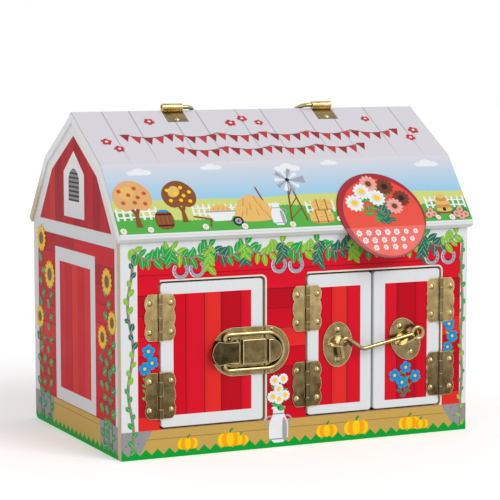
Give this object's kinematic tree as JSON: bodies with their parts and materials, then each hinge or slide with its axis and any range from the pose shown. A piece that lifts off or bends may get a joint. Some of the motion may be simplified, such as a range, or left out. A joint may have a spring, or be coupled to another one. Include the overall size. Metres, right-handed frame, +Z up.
{
  "type": "toy barn",
  "caption": "Toy barn with a gambrel roof, hinged doors held shut by a toggle latch and by a hook, and a folding wire handle on the ridge.",
  "frame": {"origin": "middle of the underside, on the surface that the barn stands on", "axes": "+X along the ridge towards the double door's end, +Y from the door side to the rear, +Z up"},
  "size_m": [0.291, 0.2135, 0.254],
  "materials": {
    "wall_board": "printed satin paper on plywood",
    "door_board": "printed satin paper on plywood",
    "roof_board": "plain plywood, printed at the ends",
    "printed_card": "printed satin card",
    "tag_card": "printed satin card",
    "brass_plate": "antique plated, satin",
    "brass_wire": "antique plated, polished",
    "brass_rivet": "antique plated, polished"
  },
  "bodies": {
    "barn_shell": {"base_panel": "wall_board", "front_wall": "wall_board", "rear_wall": "wall_board", "left_gable_wall": "wall_board", "right_gable_wall": "wall_board", "roof_front_upper": "roof_board", "roof_front_lower": "roof_board", "roof_rear_upper": "roof_board", "roof_rear_lower": "roof_board", "roof_card": "printed_card", "round_tag": "tag_card", "wall_hinge_rivets": "brass_rivet", "strike_plate": "brass_plate", "strike_rivets": "brass_rivet", "left_handle_clip": "brass_wire", "right_handle_clip": "brass_wire", "clip_rivets": "brass_rivet", "left_lower_hinge_wall_leaf": "brass_plate", "left_upper_hinge_wall_leaf": "brass_plate", "middle_lower_hinge_wall_leaf": "brass_plate", "middle_upper_hinge_wall_leaf": "brass_plate", "right_lower_hinge_wall_leaf": "brass_plate", "right_upper_hinge_wall_leaf": "brass_plate", "left_lower_hinge_pin": "brass_wire", "left_upper_hinge_pin": "brass_wire", "middle_lower_hinge_pin": "brass_wire", "middle_upper_hinge_pin": "brass_wire", "right_lower_hinge_pin": "brass_wire", "right_upper_hinge_pin": "brass_wire"},
    "left_door": {"left_door": "door_board", "left_door_hinge_rivets": "brass_rivet", "latch_base": "brass_plate", "latch_base_rivets": "brass_rivet", "latch_lever_pin": "brass_wire", "left_lower_hinge_door_leaf": "brass_plate", "left_upper_hinge_door_leaf": "brass_plate"},
    "middle_door": {"middle_door": "door_board", "middle_door_hinge_rivets": "brass_rivet", "catch_plate": "brass_plate", "catch_plate_rivets": "brass_rivet", "middle_lower_hinge_door_leaf": "brass_plate", "middle_upper_hinge_door_leaf": "brass_plate"},
    "right_door": {"right_door": "door_board", "right_door_hinge_rivets": "brass_rivet", "hook_plate": "brass_plate", "hook_plate_rivets": "brass_rivet", "right_lower_hinge_door_leaf": "brass_plate", "right_upper_hinge_door_leaf": "brass_plate"},
    "latch_lever": {"latch_lever": "brass_plate"},
    "latch_loop": {"latch_loop": "brass_wire"},
    "hook": {"hook": "brass_wire"},
    "handle": {"handle_bail": "brass_wire"}
  },
  "joints": [
    {"name": "left_door_swing", "type": "hinge", "parent": "barn_shell", "child": "left_door", "pos_m": [-0.11355, -0.0966, 0.0746], "axis": [0, 0, 1], "range_deg": [-115, 0]},
    {"name": "right_door_swing", "type": "hinge", "parent": "barn_shell", "child": "right_door", "pos_m": [0.11975, -0.0966, 0.0746], "axis": [0, 0, 1], "range_deg": [0, 100]},
    {"name": "middle_door_swing", "type": "hinge", "parent": "barn_shell", "child": "middle_door", "pos_m": [0.00495, -0.0966, 0.0746], "axis": [0, 0, 1], "range_deg": [-100, 0]},
    {"name": "latch_lever_lift", "type": "hinge", "parent": "left_door", "child": "latch_lever", "pos_m": [-0.0534, -0.098, 0.0743], "axis": [0, 0, 1], "range_deg": [0, 95]},
    {"name": "latch_loop_swing", "type": "hinge", "parent": "latch_lever", "child": "latch_loop", "pos_m": [-0.0634, -0.098, 0.0743], "axis": [0, 0, 1], "range_deg": [-95, 0]},
    {"name": "hook_swing", "type": "hinge", "parent": "right_door", "child": "hook", "pos_m": [0.0962, -0.1015, 0.0798], "axis": [0, 1, 0], "range_deg": [0, 100]},
    {"name": "handle_swing", "type": "hinge", "parent": "barn_shell", "child": "handle", "pos_m": [0, -0.00045, 0.2511], "axis": [1, 0, 0], "range_deg": [0, 240]}
  ],
  "couplings": [
    {"joint": "middle_door_swing", "follows": "right_door_swing", "ratio": -1},
    {"joint": "latch_loop_swing", "follows": "latch_lever_lift", "ratio": -1}
  ]
}
